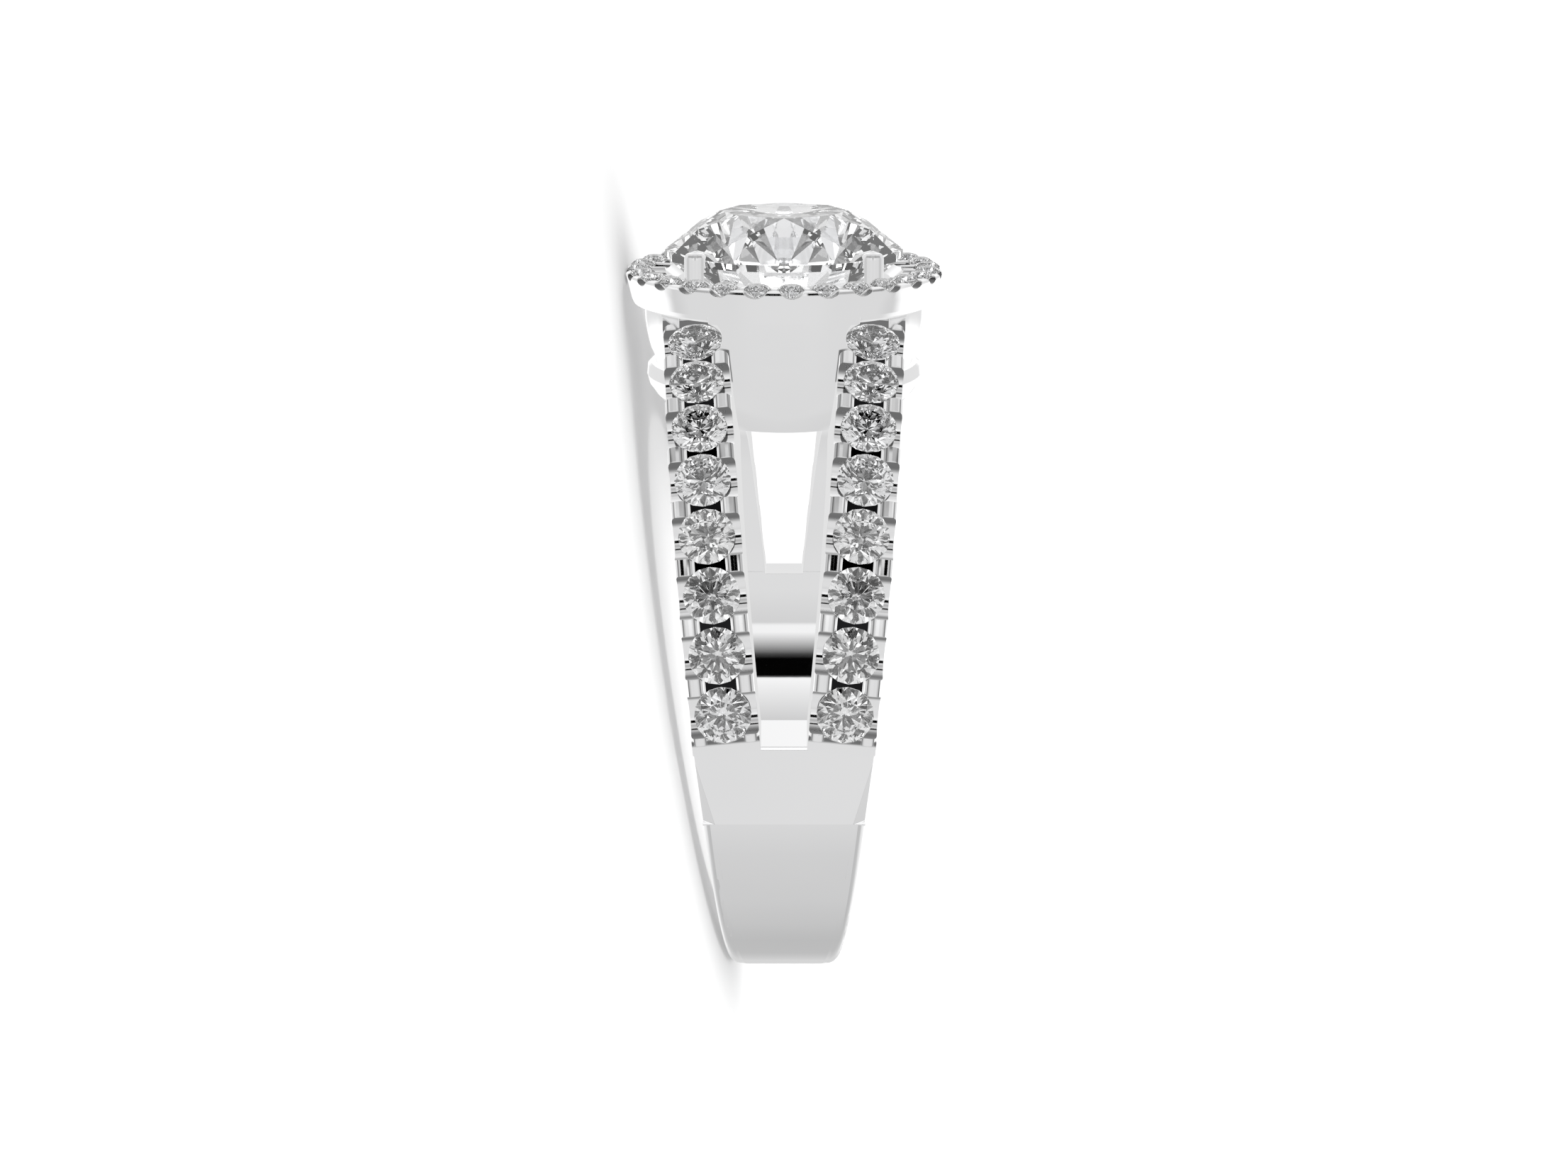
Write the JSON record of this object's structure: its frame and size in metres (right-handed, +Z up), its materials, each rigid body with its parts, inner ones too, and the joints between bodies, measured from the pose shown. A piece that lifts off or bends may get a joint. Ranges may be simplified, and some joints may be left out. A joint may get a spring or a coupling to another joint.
{
  "type": "split shank ring",
  "caption": "Finger ring with a round stone in a halo of small stones, on a band that splits into stone-set arms.",
  "frame": {"origin": "centre of the bounding box, on the surface that the ring lies on", "axes": "+X from the bottom of the band towards the stone, +Z up from the surface, across the lying ring"},
  "size_m": [0.0266, 0.022, 0.0105],
  "materials": {
    "metal": "polished white gold",
    "stone": "clear cut stone"
  },
  "bodies": {
    "root": {"ring_metal": "metal", "centre_stone": "stone", "halo_stones": "stone", "stone_near_left_1": "stone", "stone_near_left_2": "stone", "stone_near_left_3": "stone", "stone_near_left_4": "stone", "stone_near_left_5": "stone", "stone_near_left_6": "stone", "stone_near_left_7": "stone", "stone_near_left_8": "stone", "stone_near_right_1": "stone", "stone_near_right_2": "stone", "stone_near_right_3": "stone", "stone_near_right_4": "stone", "stone_near_right_5": "stone", "stone_near_right_6": "stone", "stone_near_right_7": "stone", "stone_near_right_8": "stone", "stone_far_left_1": "stone", "stone_far_left_2": "stone", "stone_far_left_3": "stone", "stone_far_left_4": "stone", "stone_far_left_5": "stone", "stone_far_left_6": "stone", "stone_far_left_7": "stone", "stone_far_left_8": "stone", "stone_far_right_1": "stone", "stone_far_right_2": "stone", "stone_far_right_3": "stone", "stone_far_right_4": "stone", "stone_far_right_5": "stone", "stone_far_right_6": "stone", "stone_far_right_7": "stone", "stone_far_right_8": "stone"}
  },
  "joints": []
}
